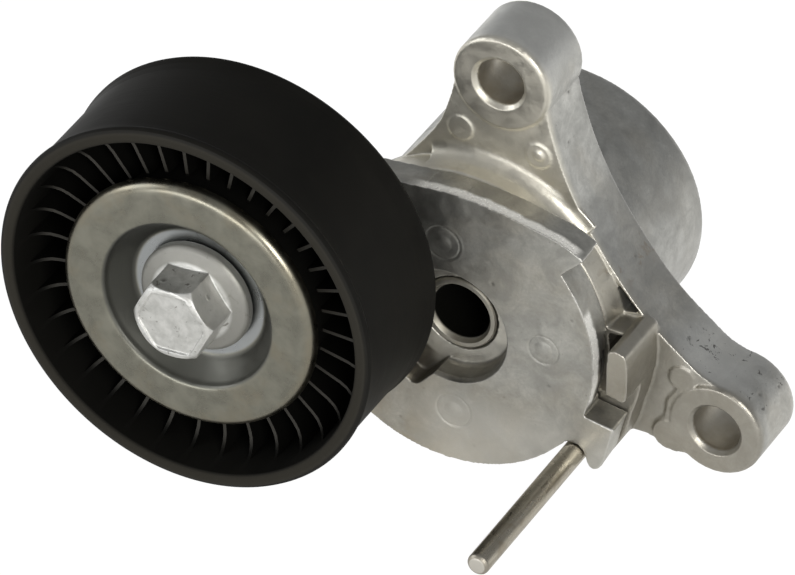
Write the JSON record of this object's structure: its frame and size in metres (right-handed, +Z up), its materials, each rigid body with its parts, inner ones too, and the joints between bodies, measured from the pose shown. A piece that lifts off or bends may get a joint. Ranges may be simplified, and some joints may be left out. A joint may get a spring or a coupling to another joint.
{
  "type": "belt tensioner idler",
  "caption": "Automatic belt tensioner: die-cast base with spring drum and bolt ears, sprung pivoting arm, smooth idler pulley on a ball bearing, travel lock pin.",
  "frame": {"origin": "centre of the spring drum's rear face, on the arm pivot axis", "axes": "+Y out of the drum's rear face along the pivot axis, so the pulley is towards -Y; +X towards the lower ear; +Z up"},
  "size_m": [0.1223, 0.0815, 0.0804],
  "materials": {
    "cast_base": "die-cast, satin",
    "cast_arm": "die-cast, satin",
    "pulley_polymer": "moulded glass-filled polymer, soft sheen",
    "cover_zinc_steel": "zinc plated, satin",
    "bolt_zinc": "zinc flake, matt silver",
    "bearing_outer_steel": "ground",
    "bearing_inner_steel": "ground",
    "ball_steel": "polished",
    "cage_polymer": "moulded",
    "seal_rubber": "matt",
    "rear_seal_rubber": "matt",
    "spacer_steel": "turned",
    "shield_steel": "pressed",
    "shaft_steel": "ground",
    "bush_polymer": "moulded",
    "rear_bush_polymer": "moulded",
    "thrust_washer_bronze": "plain",
    "friction_ring_polymer": "moulded",
    "spring_seat_polymer": "moulded",
    "spring_steel": "oil tempered",
    "pin_steel": "drawn, satin"
  },
  "bodies": {
    "base": {"base_housing": "cast_base", "pivot_shaft": "shaft_steel", "thrust_washer": "thrust_washer_bronze", "spring_seat": "spring_seat_polymer", "torsion_spring": "spring_steel"},
    "arm": {"tensioner_arm": "cast_arm", "front_bush": "bush_polymer", "rear_bush": "rear_bush_polymer", "friction_ring": "friction_ring_polymer", "bearing_inner_ring": "bearing_inner_steel", "pulley_spacer": "spacer_steel", "rear_dust_shield": "shield_steel", "front_dust_cover": "cover_zinc_steel", "pulley_bolt": "bolt_zinc"},
    "pulley_body": {"pulley": "pulley_polymer", "bearing_outer_ring": "bearing_outer_steel", "front_seal": "seal_rubber", "rear_seal": "rear_seal_rubber"},
    "bearing_cage": {"ball_cage": "cage_polymer", "ball_1": "ball_steel", "ball_2": "ball_steel", "ball_3": "ball_steel", "ball_4": "ball_steel", "ball_5": "ball_steel", "ball_6": "ball_steel", "ball_7": "ball_steel", "ball_8": "ball_steel"},
    "pin": {"lock_pin": "pin_steel"}
  },
  "joints": [
    {"name": "arm_pivot", "type": "hinge", "parent": "base", "child": "arm", "pos_m": [0, -0.0272, 0], "axis": [0, -1, 0], "range_deg": [-30, 0], "deforming": ["torsion_spring"]},
    {"name": "pulley_spin", "type": "hinge", "parent": "arm", "child": "pulley_body", "pos_m": [-0.0338, -0.0636, 0.0113], "axis": [0, -1, 0], "continuous": true},
    {"name": "bearing_cage_spin", "type": "hinge", "parent": "arm", "child": "bearing_cage", "pos_m": [-0.0338, -0.0636, 0.0113], "axis": [0, -1, 0], "continuous": true},
    {"name": "lock_pin_pull", "type": "slide", "parent": "base", "child": "pin", "axis": [0, -1, 0], "range_m": [0, 0.09]}
  ],
  "couplings": [
    {"joint": "bearing_cage_spin", "follows": "pulley_spin", "ratio": 0.619},
    {"joint": "lock_pin_pull", "follows": "arm_pivot", "m_per_rad": -0.1718}
  ]
}
